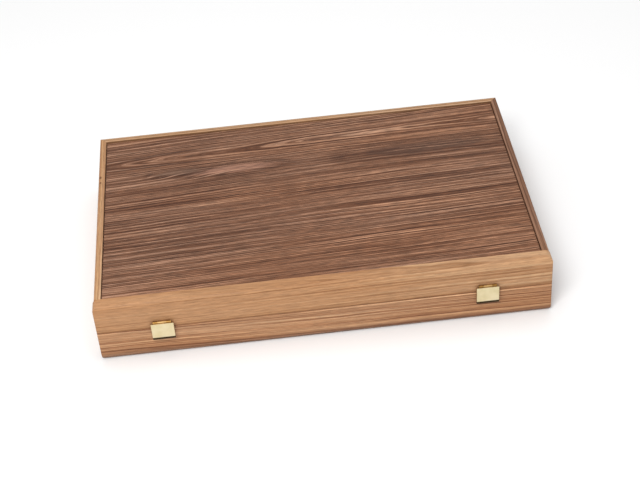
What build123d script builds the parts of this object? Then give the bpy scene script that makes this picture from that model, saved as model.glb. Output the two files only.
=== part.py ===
from build123d import *
import os

os.makedirs("parts", exist_ok=True)

# A folding backgammon case, closed: length along X, depth along Y, height along Z.
# The hinges are at the back (+Y), the clasps at the front (-Y), and it stands on Z = 0.

# Outside of the closed case, wood only
case_length = 480.0
case_depth = 308.0
case_height = 72.0
seam_gap = 0.3

# Rails of each tray
front_rail_depth = 14.0
front_rail_overhang = 1.8
front_edge_radius = 5.0
front_end_radius = 6.0
front_corner_radius = 1.0
rail_thickness = 7.2
rail_edge_radius = 1.2
seam_edge_radius = 0.6
bead_line_inset = 2.4
bead_line_width = 0.5
bead_line_depth = 0.4

# Outer panel of each tray, held by a tongue all round
panel_thickness = 5.0
panel_recess = 1.5
panel_reveal = 1.2
tongue_thickness = 2.5
tongue_depth = 2.5
panel_clearance = 0.1
veneer_thickness = 1.0
veneer_clearance = 0.1

# Playing surface and checker rack
points_per_row = 6
point_length = 196.0
point_spacing = 1.6
point_tip_width = 1.2
divider_thickness = 4.0
divider_edge_radius = 1.0
well_length = 68.0
partition_thickness = 4.0
partition_height = 18.0

# Loose pieces
checkers_per_side = 15
checker_diameter = 38.0
checker_thickness = 9.0
checker_edge_radius = 1.2
checker_dish_radius = 12.0
checker_dish_depth = 0.6
checker_gap = 0.1
checker_side_clearance = 0.75
checker_floor_clearance = 0.3
row_end_clearance = 0.5
die_size = 13.0
die_edge_radius = 2.0
die_spacing = 16.0
doubling_cube_size = 20.0
doubling_cube_edge_radius = 2.0
contents_clearance = 0.05

# Butt hinges at the back
hinge_spacing = 300.0
hinge_length = 50.0
hinge_knuckles = 5
hinge_barrel_radius = 2.4
hinge_pin_radius = 1.0
hinge_axis_offset = 0.2
leaf_thickness = 1.2
leaf_setback = 0.6
screws_per_leaf = 3
screw_spacing = 18.0
screw_shank_radius = 0.95
screw_head_radius = 1.8
screw_length = 10.0

# Snap clasps at the front
clasp_spacing = 342.0
flap_width = 24.0
flap_height = 22.0
flap_thickness = 0.9
flap_lip = 1.3
flap_corner_radius = 0.8
flap_foot_radius = 2.0
clasp_axis_height = 9.1
clasp_axis_standoff = 1.9
clasp_knuckle_radius = 1.6
clasp_pin_radius = 0.7
clasp_barrel_length = 19.0
clasp_centre_knuckle = 9.0
clasp_plate_width = 20.0
clasp_plate_thickness = 0.8
clasp_plate_margin = 0.6
keeper_width = 15.0
keeper_height = 7.0
keeper_drop = 1.2
catch_width = 8.0
catch_height = 2.0
catch_depth = 1.9
nail_shank_radius = 0.6
nail_head_radius = 1.1
nail_head_height = 0.4
nail_length = 7.0
nail_side_margin = 2.4

# Fits shared by the hinges, clasps and fasteners
pin_fit = 0.05
fastener_fit = 0.05
knuckle_gap = 0.15
swing_clearance = 0.25
mortise_clearance = 0.1

# Places worked out from the sizes above
half_height = case_height / 2
rim = half_height - seam_gap / 2
clasp_proud = clasp_axis_standoff + clasp_knuckle_radius + knuckle_gap + flap_thickness
hinge_proud = hinge_axis_offset + hinge_barrel_radius
front_face = -(case_depth + clasp_proud + hinge_proud) / 2 + clasp_proud
back_face = front_face + case_depth
front_inner = front_face + front_rail_depth
back_inner = back_face - rail_thickness
side_face = case_length / 2 - front_rail_overhang
side_inner = side_face - rail_thickness
panel_inside = panel_recess + panel_thickness
floor_level = panel_inside + veneer_thickness
rack_width = checker_diameter + 2 * checker_side_clearance
rack_back = front_inner + rack_width
table_front = rack_back + divider_thickness
point_pitch = (back_inner - table_front) / points_per_row
rack_middle = (front_inner + rack_back) / 2
hinge_axis_y = back_face + hinge_axis_offset
clasp_axis_y = front_face - clasp_axis_standoff
clasp_axis_z = half_height + clasp_axis_height
clasp_knuckle_low = clasp_axis_z - clasp_knuckle_radius - swing_clearance
SEAM_PLANE = Plane.XY.offset(half_height)


def block(x_range, y_range, z_range):
    """A box between two values along each axis."""
    size = [high - low for low, high in (x_range, y_range, z_range)]
    middle = [(low + high) / 2 for low, high in (x_range, y_range, z_range)]
    return Pos(*middle) * Box(*size)


def rod_x(x_range, y, z, radius):
    """A round bar along X."""
    length = x_range[1] - x_range[0]
    return Pos((x_range[0] + x_range[1]) / 2, y, z) * Rot(0, 90, 0) * Cylinder(radius, length)


def rod_y(x, y_range, z, radius):
    """A round bar along Y."""
    length = y_range[1] - y_range[0]
    return Pos(x, (y_range[0] + y_range[1]) / 2, z) * Rot(90, 0, 0) * Cylinder(radius, length)


def rod_z(x, y, z_range, radius):
    """A round bar along Z."""
    return Pos(x, y, (z_range[0] + z_range[1]) / 2) * Cylinder(radius, z_range[1] - z_range[0])


def prism(outline, z_range):
    """A flat outline in X and Y, raised between two heights."""
    face = Pos(0, 0, z_range[0]) * make_face(Polyline(*outline, close=True))
    return extrude(face, z_range[1] - z_range[0])


def over_seam(part):
    """The same piece for the lid tray, mirrored in the seam."""
    return mirror(part, about=SEAM_PLANE)


def on_right(part):
    """The same piece at the other end, mirrored in the middle."""
    return mirror(part, about=Plane.YZ)


def solids_of(*shapes):
    """Separate pieces gathered in one node."""
    return Compound(children=[solid for shape in shapes for solid in shape.solids()])


# Panels and the seat that they need in the rails

def panel_tongue(extra):
    """The slab that the rails grip, grown by extra on every face."""
    reach = tongue_depth + extra
    return block(
        (-side_inner - reach, side_inner + reach),
        (front_inner - reach, back_inner + reach),
        (panel_inside - tongue_thickness - extra, panel_inside + extra),
    )


def tray_panel():
    """Outer panel: a raised field that stands clear of the rails, on its tongue."""
    field = block(
        (-side_inner + panel_reveal, side_inner - panel_reveal),
        (front_inner + panel_reveal, back_inner - panel_reveal),
        (panel_recess, panel_inside),
    )
    return field + panel_tongue(0)


# Rails

def rail_section(thickness, edge_radius):
    """Section of a rail: the first coordinate runs inwards from its outer face, the second upwards."""
    section = make_face(Polyline((0, 0), (thickness, 0), (thickness, rim), (0, rim), close=True))
    section = fillet(section.vertices().sort_by_distance((0, 0))[0], edge_radius)
    return fillet(section.vertices().sort_by_distance((0, rim))[0], seam_edge_radius)


def bead_line():
    """The fine line scratched round the side and back rails, on the outer face of a tray."""
    outer = bead_line_inset + bead_line_width
    whole = block((-side_inner - outer, side_inner + outer), (front_face, back_inner + outer),
                  (0, bead_line_depth))
    middle = block((-side_inner - bead_line_inset, side_inner + bead_line_inset),
                   (front_face, back_inner + bead_line_inset), (0, bead_line_depth))
    return whole - middle


def end_corner(side, upward, radius):
    """What rounding takes off one end of a front rail: at its seam if upward is 1, below if it is -1."""
    spare = front_rail_depth
    x = side * (case_length / 2 - radius)
    z = rim - radius if upward > 0 else radius
    corner = block(sorted((x, x + side * (radius + spare))), (front_face - spare, front_inner + spare),
                   sorted((z, z + upward * (radius + spare))))
    return corner - rod_y(x, (front_face - 2 * spare, front_inner + 2 * spare), z, radius)


def front_rail():
    """Thick front rail, rounded along its outer edge and at the corners and uprights of its ends."""
    across = Plane(origin=(0, front_face, 0), x_dir=(0, 1, 0), z_dir=(1, 0, 0))
    half = case_length / 2
    rail = extrude(across * rail_section(front_rail_depth, front_edge_radius), half, both=True)
    for side in (-1, 1):
        rail -= end_corner(side, -1, front_end_radius)
        rail -= end_corner(side, 1, seam_edge_radius)
    plan = make_face(Polyline((-half, front_inner), (-half, front_face), (half, front_face),
                              (half, front_inner), close=True))
    plan = fillet(plan.vertices().group_by(Axis.Y)[0], front_corner_radius)
    return (rail & extrude(plan, rim)) - panel_tongue(panel_clearance)


def left_rail():
    """Left side rail: butts on the front rail, mitred to the back rail."""
    across = Plane(origin=(-side_face, back_face, 0), x_dir=(1, 0, 0), z_dir=(0, -1, 0))
    rail = extrude(across * rail_section(rail_thickness, rail_edge_radius), back_face - front_inner)
    plan = [(-side_face, front_inner), (-side_inner, front_inner),
            (-side_inner, back_inner), (-side_face, back_face)]
    return (rail & prism(plan, (0, rim))) - bead_line() - panel_tongue(panel_clearance)


def back_rail():
    """Back rail, mitred at both ends, with seats for the two hinges."""
    across = Plane(origin=(side_face, back_face, 0), x_dir=(0, -1, 0), z_dir=(-1, 0, 0))
    rail = extrude(across * rail_section(rail_thickness, rail_edge_radius), 2 * side_face)
    plan = [(-side_face, back_face), (-side_inner, back_inner),
            (side_inner, back_inner), (side_face, back_face)]
    rail = (rail & prism(plan, (0, rim))) - bead_line() - panel_tongue(panel_clearance)
    for middle in (-hinge_spacing / 2, hinge_spacing / 2):
        reach = hinge_length / 2 + mortise_clearance
        across_hinge = (middle - reach, middle + reach)
        leaf_seat = (back_inner + leaf_setback - mortise_clearance, back_face + 1)
        rail -= block(across_hinge, leaf_seat, (rim - leaf_thickness, rim))
        rail -= rod_x(across_hinge, hinge_axis_y, half_height, hinge_barrel_radius + swing_clearance)
        for x in screw_places(middle):
            screw_hole = (rim - screw_length - fastener_fit, rim)
            rail -= rod_z(x, screw_line, screw_hole, screw_shank_radius + fastener_fit)
    return rail


# Hinges

screw_line = (back_inner + leaf_setback + hinge_axis_y - hinge_barrel_radius) / 2


def screw_places(middle):
    """Places along X of the screws in one hinge leaf."""
    first = middle - screw_spacing * (screws_per_leaf - 1) / 2
    return [first + screw_spacing * number for number in range(screws_per_leaf)]


def countersink(x, extra):
    """Cone of a screw head, down from the face of the leaf."""
    low = screw_shank_radius + extra
    high = screw_head_radius + extra
    return Pos(x, screw_line, rim - leaf_thickness / 2) * Cone(low, high, leaf_thickness)


def hinge_leaf(middle, first_knuckle):
    """Leaf on the base rim. Knuckles are every second one from first_knuckle."""
    start = middle - hinge_length / 2
    pitch = hinge_length / hinge_knuckles
    plate = block((start, start + hinge_length), (back_inner + leaf_setback, hinge_axis_y),
                  (rim - leaf_thickness, rim))
    for number in range(hinge_knuckles):
        span = (start + number * pitch, start + (number + 1) * pitch)
        if number % 2 != first_knuckle:
            opening = (span[0] - knuckle_gap / 2, span[1] + knuckle_gap / 2)
            plate -= rod_x(opening, hinge_axis_y, half_height, hinge_barrel_radius + swing_clearance)
    for number in range(first_knuckle, hinge_knuckles, 2):
        span = (start + number * pitch, start + (number + 1) * pitch)
        knuckle = (span[0] + knuckle_gap / 2, span[1] - knuckle_gap / 2)
        plate += rod_x(knuckle, hinge_axis_y, half_height, hinge_barrel_radius)
    plate -= rod_x((start, start + hinge_length), hinge_axis_y, half_height, hinge_pin_radius + pin_fit)
    for x in screw_places(middle):
        plate -= countersink(x, fastener_fit)
    return plate


def hinge_pin(middle):
    """Pin through all the knuckles of one hinge."""
    half = hinge_length / 2
    return rod_x((middle - half, middle + half), hinge_axis_y, half_height, hinge_pin_radius)


def hinge_screws():
    """Countersunk screws of both hinges, in the base."""
    screws = []
    for middle in (-hinge_spacing / 2, hinge_spacing / 2):
        for x in screw_places(middle):
            shank = rod_z(x, screw_line, (rim - screw_length, rim - leaf_thickness), screw_shank_radius)
            screws.append(shank + countersink(x, 0))
    return solids_of(*screws)


# Clasps

def nail(x, plate_face, z):
    """Round-headed nail through a plate on the front face."""
    head = rod_y(x, (plate_face - nail_head_height, plate_face), z, nail_head_radius)
    return head + rod_y(x, (plate_face, plate_face + nail_length), z, nail_shank_radius)


def nail_hole(x, z):
    """Hole for a nail, through a plate and into the rail."""
    depth = (front_face - clasp_plate_thickness, front_face - clasp_plate_thickness + nail_length)
    return rod_y(x, (depth[0], depth[1] + fastener_fit), z, nail_shank_radius + fastener_fit)


def plate_nails(middle):
    """Places of the two nails in a clasp plate on the lid."""
    reach = clasp_plate_width / 2 - nail_side_margin
    height = (half_height + clasp_plate_margin + clasp_knuckle_low) / 2
    return [(middle - reach, height), (middle + reach, height)]


def keeper_nails(middle):
    """Places of the two nails in a keeper on the base."""
    reach = keeper_width / 2 - nail_side_margin / 2 - nail_shank_radius
    height = half_height - keeper_drop - keeper_height / 2
    return [(middle - reach, height), (middle + reach, height)]


def clasp_plate(middle):
    """Plate nailed to the lid, with the middle knuckle of the clasp."""
    face = front_face - clasp_plate_thickness
    half = clasp_plate_width / 2
    half_knuckle = clasp_centre_knuckle / 2
    strip = block((middle - half, middle + half), (face, front_face),
                  (half_height + clasp_plate_margin, clasp_knuckle_low))
    neck = block((middle - half_knuckle, middle + half_knuckle), (face, front_face),
                 (clasp_knuckle_low, clasp_axis_z))
    barrel = rod_x((middle - half_knuckle, middle + half_knuckle),
                   clasp_axis_y, clasp_axis_z, clasp_knuckle_radius)
    bore = rod_x((middle - half_knuckle, middle + half_knuckle),
                 clasp_axis_y, clasp_axis_z, clasp_pin_radius + pin_fit)
    plate = strip + neck + barrel - bore
    for x, z in plate_nails(middle):
        plate -= nail_hole(x, z)
    return plate


def clasp_pin(middle):
    """Pin through the three knuckles of one clasp."""
    half = clasp_barrel_length / 2
    return rod_x((middle - half, middle + half), clasp_axis_y, clasp_axis_z, clasp_pin_radius)


def foot_edge(shape):
    """The lower edge along the front of a block."""
    return shape.edges().filter_by(Axis.X).sort_by(Axis.Z)[:2].sort_by(Axis.Y)[0]


def clasp_flap(middle):
    """Pressed flap that hangs over the seam, lipped at its sides and foot, with the outer knuckles."""
    inside = clasp_axis_y - clasp_knuckle_radius - knuckle_gap
    outside = inside - flap_thickness
    half = flap_width / 2
    foot = clasp_axis_z - flap_height
    shell = block((middle - half, middle + half), (outside, inside + flap_lip), (foot, clasp_axis_z))
    shell = fillet(foot_edge(shell), flap_foot_radius)
    side_edges = [edge for face in shell.faces().sort_by(Axis.Y)[:2] for edge in face.edges()
                  if abs(edge.center().X - middle) > half - pin_fit]
    shell = fillet(side_edges, flap_corner_radius)
    hollow = block((middle - half + flap_thickness, middle + half - flap_thickness),
                   (inside, inside + flap_lip), (foot + flap_thickness, clasp_axis_z))
    hollow = fillet(foot_edge(hollow), flap_foot_radius - flap_thickness)
    flap = shell - hollow
    near = clasp_centre_knuckle / 2 + knuckle_gap
    far = clasp_barrel_length / 2
    for span in ((middle - far, middle - near), (middle + near, middle + far)):
        bridge = block(span, (inside, clasp_axis_y), (clasp_axis_z - clasp_knuckle_radius, clasp_axis_z))
        flap += bridge + rod_x(span, clasp_axis_y, clasp_axis_z, clasp_knuckle_radius)
    bore = rod_x((middle - far, middle + far), clasp_axis_y, clasp_axis_z, clasp_pin_radius + pin_fit)
    return flap - bore


def clasp_keeper(middle):
    """Keeper nailed to the base, with the raised catch that the flap closes on."""
    face = front_face - clasp_plate_thickness
    top = half_height - keeper_drop
    half = keeper_width / 2
    half_catch = catch_width / 2
    plate = block((middle - half, middle + half), (face, front_face), (top - keeper_height, top))
    catch_middle = top - keeper_height / 2
    catch = block((middle - half_catch, middle + half_catch), (front_face - catch_depth, face),
                  (catch_middle - catch_height / 2, catch_middle + catch_height / 2))
    plate += catch
    for x, z in keeper_nails(middle):
        plate -= nail_hole(x, z)
    return plate


def front_nails(places):
    """Nails of both clasps at the given places."""
    plate_face = front_face - clasp_plate_thickness
    return solids_of(*[
        nail(x, plate_face, z)
        for middle in (-clasp_spacing / 2, clasp_spacing / 2)
        for x, z in places(middle)
    ])


def drilled_front_rail(rail, places):
    """A front rail with the holes for its nails."""
    for middle in (-clasp_spacing / 2, clasp_spacing / 2):
        for x, z in places(middle):
            rail -= nail_hole(x, z)
    return rail


# Playing surface

def point_shape(number, side):
    """One inlaid point: base at the side rail, tip towards the middle."""
    middle = table_front + (number + 0.5) * point_pitch
    half_base = (point_pitch - point_spacing) / 2
    half_tip = point_tip_width / 2
    base_x = side * (side_inner - veneer_clearance)
    tip_x = side * (side_inner - veneer_clearance - point_length)
    outline = [(base_x, middle - half_base), (base_x, middle + half_base),
               (tip_x, middle + half_tip), (tip_x, middle - half_tip)]
    return prism(outline, (panel_inside, floor_level))


def point_set(colour, tray):
    """Points of one colour in one tray. Neighbours, facing points and the two trays alternate."""
    shapes = []
    for side in (-1, 1):
        for number in range(points_per_row):
            if (number + (side > 0) + tray) % 2 == colour:
                shapes.append(point_shape(number, side))
    return solids_of(*shapes)


def veneer_ground(all_points):
    """Veneer over the inside of a tray, cut out for its points."""
    x = side_inner - veneer_clearance
    sheet = block((-x, x), (front_inner + veneer_clearance, back_inner - veneer_clearance),
                  (panel_inside, floor_level))
    return sheet - all_points.solids()


def rack_divider():
    """Upright strip between the playing surface and the checker rack."""
    strip = block((-side_inner, side_inner), (rack_back, table_front), (floor_level, rim))
    top_edges = strip.edges().filter_by(Axis.X).sort_by(Axis.Z)[-2:]
    return fillet(top_edges, divider_edge_radius)


def rack_partition(side):
    """Low wall at one end of the dice well, in the base rack."""
    near = side * well_length / 2
    far = side * (well_length / 2 + partition_thickness)
    return block((min(near, far), max(near, far)), (front_inner, rack_back),
                 (floor_level, floor_level + partition_height))


# Loose pieces

def checker(x):
    """One checker on edge, its flat faces across X, dished on both sides."""
    disc = Cylinder(checker_diameter / 2, checker_thickness)
    disc = fillet(disc.edges().filter_by(GeomType.CIRCLE), checker_edge_radius)
    for side in (-1, 1):
        dish_middle = side * (checker_thickness - checker_dish_depth) / 2
        disc -= Pos(0, 0, dish_middle) * Cylinder(checker_dish_radius, checker_dish_depth)
    height = floor_level + checker_floor_clearance + checker_diameter / 2
    return Pos(x, rack_middle, height) * Rot(0, 90, 0) * disc


def checker_row(side):
    """A full row of checkers, on edge against the end of the rack."""
    first = side_inner - row_end_clearance - checker_thickness / 2
    pitch = checker_thickness + checker_gap
    return solids_of(*[checker(side * (first - number * pitch)) for number in range(checkers_per_side)])


def cube(x, y, size, edge_radius):
    """A cube with rounded edges, standing on the floor of the rack."""
    solid = fillet(Box(size, size, size).edges(), edge_radius)
    return Pos(x, y, floor_level + contents_clearance + size / 2) * solid


def die(side, row):
    """One of a pair of dice, one behind the other, between the doubling cube and a partition."""
    x = side * (well_length / 2 + doubling_cube_size / 2) / 2
    return cube(x, rack_middle + row * die_spacing / 2, die_size, die_edge_radius)


# Both trays

nodes = {}
for tray_number, tray in enumerate(("base", "lid")):
    place = over_seam if tray == "lid" else (lambda part: part)
    nail_places = plate_nails if tray == "lid" else keeper_nails
    left = left_rail()
    dark_points = point_set(0, tray_number)
    light_points = point_set(1, tray_number)
    nodes[f"{tray}_front_rail"] = drilled_front_rail(place(front_rail()), nail_places)
    nodes[f"{tray}_left_rail"] = place(left)
    nodes[f"{tray}_right_rail"] = place(on_right(left))
    nodes[f"{tray}_back_rail"] = place(back_rail())
    nodes[f"{tray}_panel"] = place(tray_panel())
    nodes[f"{tray}_playing_field"] = place(veneer_ground(solids_of(dark_points, light_points)))
    nodes[f"{tray}_dark_points"] = solids_of(place(dark_points))
    nodes[f"{tray}_light_points"] = solids_of(place(light_points))
    nodes[f"{tray}_rack_divider"] = place(rack_divider())
    nodes[f"{tray}_hinge_screws"] = solids_of(place(hinge_screws()))
    nodes[f"{tray}_clasp_nails"] = front_nails(nail_places)

# Hinges, clasps and rack partitions, one of each at both ends
for side_name, side in (("left", -1), ("right", 1)):
    hinge_middle = side * hinge_spacing / 2
    clasp_middle = side * clasp_spacing / 2
    nodes[f"{side_name}_hinge_base_leaf"] = hinge_leaf(hinge_middle, 0)
    nodes[f"{side_name}_hinge_lid_leaf"] = over_seam(hinge_leaf(hinge_middle, 1))
    nodes[f"{side_name}_hinge_pin"] = hinge_pin(hinge_middle)
    nodes[f"{side_name}_clasp_plate"] = clasp_plate(clasp_middle)
    nodes[f"{side_name}_clasp_pin"] = clasp_pin(clasp_middle)
    nodes[f"{side_name}_clasp_flap"] = clasp_flap(clasp_middle)
    nodes[f"{side_name}_clasp_keeper"] = clasp_keeper(clasp_middle)
    nodes[f"{side_name}_rack_partition"] = rack_partition(side)

# Checkers, dice and doubling cube in the base rack
for colour, side in (("light", -1), ("dark", 1)):
    nodes[f"{colour}_checkers"] = checker_row(side)
    nodes[f"{colour}_front_die"] = die(side, -1)
    nodes[f"{colour}_back_die"] = die(side, 1)
nodes["doubling_cube"] = cube(0, rack_middle, doubling_cube_size, doubling_cube_edge_radius)

for name, shape in nodes.items():
    export_step(shape, f"parts/{name}.step")
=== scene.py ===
import math

import bmesh
import bpy
from mathutils import Matrix, Vector


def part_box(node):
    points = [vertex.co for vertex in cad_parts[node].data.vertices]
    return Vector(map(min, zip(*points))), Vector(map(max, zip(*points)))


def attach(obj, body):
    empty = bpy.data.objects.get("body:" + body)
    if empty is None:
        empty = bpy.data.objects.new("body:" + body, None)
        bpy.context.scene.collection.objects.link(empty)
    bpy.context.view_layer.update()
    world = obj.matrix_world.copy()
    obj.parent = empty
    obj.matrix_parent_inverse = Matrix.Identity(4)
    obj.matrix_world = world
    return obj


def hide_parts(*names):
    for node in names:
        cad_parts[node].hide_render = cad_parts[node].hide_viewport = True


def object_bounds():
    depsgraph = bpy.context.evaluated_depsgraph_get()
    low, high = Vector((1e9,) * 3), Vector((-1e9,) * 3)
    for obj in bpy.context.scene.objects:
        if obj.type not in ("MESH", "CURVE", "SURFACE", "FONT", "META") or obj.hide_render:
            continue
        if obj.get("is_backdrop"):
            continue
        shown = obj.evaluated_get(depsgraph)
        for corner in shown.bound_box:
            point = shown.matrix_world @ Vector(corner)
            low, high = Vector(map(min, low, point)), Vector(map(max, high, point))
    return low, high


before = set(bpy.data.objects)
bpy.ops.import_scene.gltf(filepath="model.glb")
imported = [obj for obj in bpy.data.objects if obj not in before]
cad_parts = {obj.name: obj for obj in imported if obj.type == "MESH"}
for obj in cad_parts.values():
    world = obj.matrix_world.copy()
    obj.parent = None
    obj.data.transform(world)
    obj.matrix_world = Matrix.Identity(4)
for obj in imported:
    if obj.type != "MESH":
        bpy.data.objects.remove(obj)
cad_low, cad_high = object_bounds()

# Panels
# The two outer faces of the case: flat-sawn dark walnut, held in grooves in the rails with a narrow
# reveal at the sides and the back, dark with painted shade on the rails, and finished in satin lacquer.


def add(tree, kind, inputs=None, **settings):
    """A node with its settings, its inputs given as values or as sockets to link."""
    made = tree.nodes.new(kind)
    for name, value in settings.items():
        setattr(made, name, value)
    for key, value in (inputs or {}).items():
        if isinstance(value, bpy.types.NodeSocket):
            tree.links.new(value, made.inputs[key])
        else:
            made.inputs[key].default_value = value
    return made


def calc(tree, operation, *values):
    """Result of one sum on numbers."""
    return add(tree, "ShaderNodeMath", dict(enumerate(values)), operation=operation).outputs[0]


def calc_vector(tree, operation, *values):
    """Result of one sum on vectors."""
    return add(tree, "ShaderNodeVectorMath", dict(enumerate(values)), operation=operation).outputs[0]


def noise(tree, vector, detail, roughness=0.5, output="Fac"):
    """Cloudy noise with one wave for each unit of the vector."""
    made = add(tree, "ShaderNodeTexNoise", {"Vector": vector, "Scale": 1.0, "Detail": detail,
                                            "Roughness": roughness})
    return made.outputs[output]


def waves(tree, vector, per_metre, detail=2.0, roughness=0.5, output="Fac"):
    """Cloudy noise with so many waves to the metre along each axis."""
    return noise(tree, calc_vector(tree, "MULTIPLY", vector, per_metre), detail, roughness, output)


def between(tree, value, low, high, out_low=0.0, out_high=1.0):
    """The value carried from one range to another, eased and held at both ends."""
    made = add(tree, "ShaderNodeMapRange", {0: value, 1: low, 2: high, 3: out_low, 4: out_high},
               interpolation_type="SMOOTHSTEP")
    return made.outputs[0]


def mix_colours(tree, how, amount, first, second):
    """Two colours laid over each other."""
    made = add(tree, "ShaderNodeMix", {0: amount, 6: first, 7: second}, data_type="RGBA", blend_type=how)
    return made.outputs[2]


def colour(red, green, blue):
    """A colour as read off a screen, 0 to 255, made linear."""
    return tuple(((part / 255 + 0.055) / 1.055) ** 2.4 for part in (red, green, blue)) + (1.0,)


def colour_ramp(tree, value, stops):
    """Colours along a value, as pairs of place and colour."""
    ramp = add(tree, "ShaderNodeValToRGB", {"Fac": value})
    while len(ramp.color_ramp.elements) < len(stops):
        ramp.color_ramp.elements.new(0.5)
    for element, (place, shade) in zip(ramp.color_ramp.elements, stops):
        element.position = place
        element.color = shade
    return ramp.outputs["Color"]


def new_group(name, inputs, outputs):
    """An empty shader group with named sockets, and its two end nodes."""
    group = bpy.data.node_groups.new(name, "ShaderNodeTree")
    for label, kind, value in inputs:
        socket = group.interface.new_socket(label, in_out="INPUT", socket_type=kind)
        if value is not None:
            socket.default_value = value
    for label in outputs:
        group.interface.new_socket(label, in_out="OUTPUT", socket_type="NodeSocketFloat")
    return group, group.nodes.new("NodeGroupInput"), group.nodes.new("NodeGroupOutput")


def timber_growth():
    """Grain of a plank whose trunk ran along X with its heart on the X axis, in metres."""
    group, given, result = new_group(
        "timber_growth",
        [("Vector", "NodeSocketVector", None), ("Streak Width", "NodeSocketFloat", 0.004),
         ("Sweep", "NodeSocketFloat", 0.01), ("Streak Run", "NodeSocketFloat", 1.3),
         ("Line Spacing", "NodeSocketFloat", 0.005), ("Swelling", "NodeSocketFloat", 0.0),
         ("Contrast", "NodeSocketFloat", 1.0)],
        ["Growth", "Light Lines", "Dark Lines", "Fibre", "Pores", "Drift", "Relief"])
    vector = given.outputs["Vector"]

    # The trunk sweeps slowly from side to side, and ripples a little
    noise_middle = (0.5, 0.5, 0.5)
    ripple_height = 0.0020
    slow = waves(group, vector, (1.7, 7.0, 7.0), output="Color")
    slow = calc_vector(group, "SUBTRACT", slow, noise_middle)
    sweep = add(group, "ShaderNodeCombineXYZ", {"Y": given.outputs["Sweep"], "Z": given.outputs["Sweep"]})
    bent = calc_vector(group, "ADD", vector, calc_vector(group, "MULTIPLY", slow, sweep.outputs[0]))
    ripple = waves(group, vector, (16.0, 55.0, 55.0), output="Color")
    ripple = calc_vector(group, "SUBTRACT", ripple, noise_middle)
    ripple = calc_vector(group, "MULTIPLY", ripple, (0.0, ripple_height, ripple_height))
    bent = calc_vector(group, "ADD", bent, ripple)

    # Streaks run with the rings, which a swelling in the trunk pushes outwards
    along = add(group, "ShaderNodeSeparateXYZ", {0: bent}).outputs["X"]
    across = calc_vector(group, "MULTIPLY", bent, (0.0, 1.0, 1.0))
    radius = add(group, "ShaderNodeVectorMath", {0: across}, operation="LENGTH").outputs["Value"]
    radius = calc(group, "ADD", radius, given.outputs["Swelling"])
    ring = calc(group, "DIVIDE", radius, given.outputs["Streak Width"])
    run = calc(group, "MULTIPLY", along, given.outputs["Streak Run"])
    streak_place = add(group, "ShaderNodeCombineXYZ", {"X": run, "Y": ring}).outputs[0]
    growth = noise(group, streak_place, detail=5.0, roughness=0.72)
    growth = calc(group, "MULTIPLY_ADD", calc(group, "SUBTRACT", growth, 0.5),
                  given.outputs["Contrast"], 0.5)

    # Thin lines run with them, each light, dark or missing by chance, and come and go on their way
    line_core, line_edge, line_wander = 0.03, 0.17, 0.5
    spaced = calc(group, "DIVIDE", radius, given.outputs["Line Spacing"])
    line_place = calc_vector(group, "MULTIPLY", streak_place, (3.0, 0.6, 1.0))
    fading = noise(group, calc_vector(group, "ADD", line_place, (11.0, 5.0, 3.0)), detail=2.0)
    wandering = calc(group, "MULTIPLY_ADD", fading, line_wander, spaced)
    cell = add(group, "ShaderNodeTexVoronoi", {"W": wandering, "Scale": 1.0}, voronoi_dimensions="1D")
    line = between(group, cell.outputs["Distance"], line_edge, line_core)
    chance = add(group, "ShaderNodeSeparateColor", {0: cell.outputs["Color"]}).outputs[0]
    light = calc(group, "MULTIPLY", line, between(group, chance, 0.50, 0.80))
    light = calc(group, "MULTIPLY", light, between(group, fading, 0.38, 0.56))
    dark = calc(group, "MULTIPLY", line, between(group, chance, 0.50, 0.20))
    dark = calc(group, "MULTIPLY", dark, between(group, fading, 0.62, 0.44))

    # Fibres and pores are the finest figure, and drift is a slow change of tone
    fibre = waves(group, bent, (70.0, 1000.0, 1000.0))
    pores = waves(group, bent, (150.0, 3600.0, 3600.0), detail=1.0)
    pores = between(group, pores, 0.60, 0.72)
    drift = waves(group, vector, (3.0, 16.0, 16.0))
    relief = calc(group, "SUBTRACT", calc(group, "MULTIPLY", fibre, 0.5), pores)
    for label, socket in (("Growth", growth), ("Light Lines", light), ("Dark Lines", dark),
                          ("Fibre", fibre), ("Pores", pores), ("Drift", drift), ("Relief", relief)):
        group.links.new(socket, result.inputs[label])
    return group


growth_group = timber_growth()


def new_material(name):
    """An empty node material with its Principled shader."""
    material = bpy.data.materials.new(name)
    material.use_nodes = True
    return material, material.node_tree, material.node_tree.nodes["Principled BSDF"]


def lens_reach(tree, place, lens):
    """How far a point of a level face is from the middle of a lens of grain, 1 at the lens's edge."""
    away = calc_vector(tree, "SUBTRACT", place, (*lens["middle"], 0.0))
    away = add(tree, "ShaderNodeMapping", {"Vector": away, "Scale": (1.0, 1.0, 0.0),
                                           "Rotation": (0.0, 0.0, -math.radians(lens["lean"]))}).outputs[0]
    away = calc_vector(tree, "MULTIPLY", away, (1 / lens["long"], 1 / lens["wide"], 0.0))
    return add(tree, "ShaderNodeVectorMath", {0: away}, operation="LENGTH").outputs["Value"]


STREAK_STOPS = (0.36, 0.46, 0.54, 0.66)
NOISE_RANGE = (0.3, 0.7)
LINE_STRENGTH = 0.8
WARM_TINT = (1.05, 0.99, 0.91, 1.0)
COOL_TINT = (0.95, 1.0, 1.06, 1.0)
DRIFT_SHADE = (0.94, 1.05)
PORE_SHADE = -0.25
WOOD_ROUGHNESS = (0.42, 0.55)
WOOD_SHINE = 0.22
WOOD_RELIEF = 0.00008
WOOD_BUMP = 0.5
LENS_FRAY = 1.1
LENS_EDGE = (0.56, 0.34)
LENS_STRENGTH = 0.8
LENS_RIM = 0.64
RIM_EDGE = (0.13, 0.03)
RIM_STRENGTH = 0.6


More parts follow.
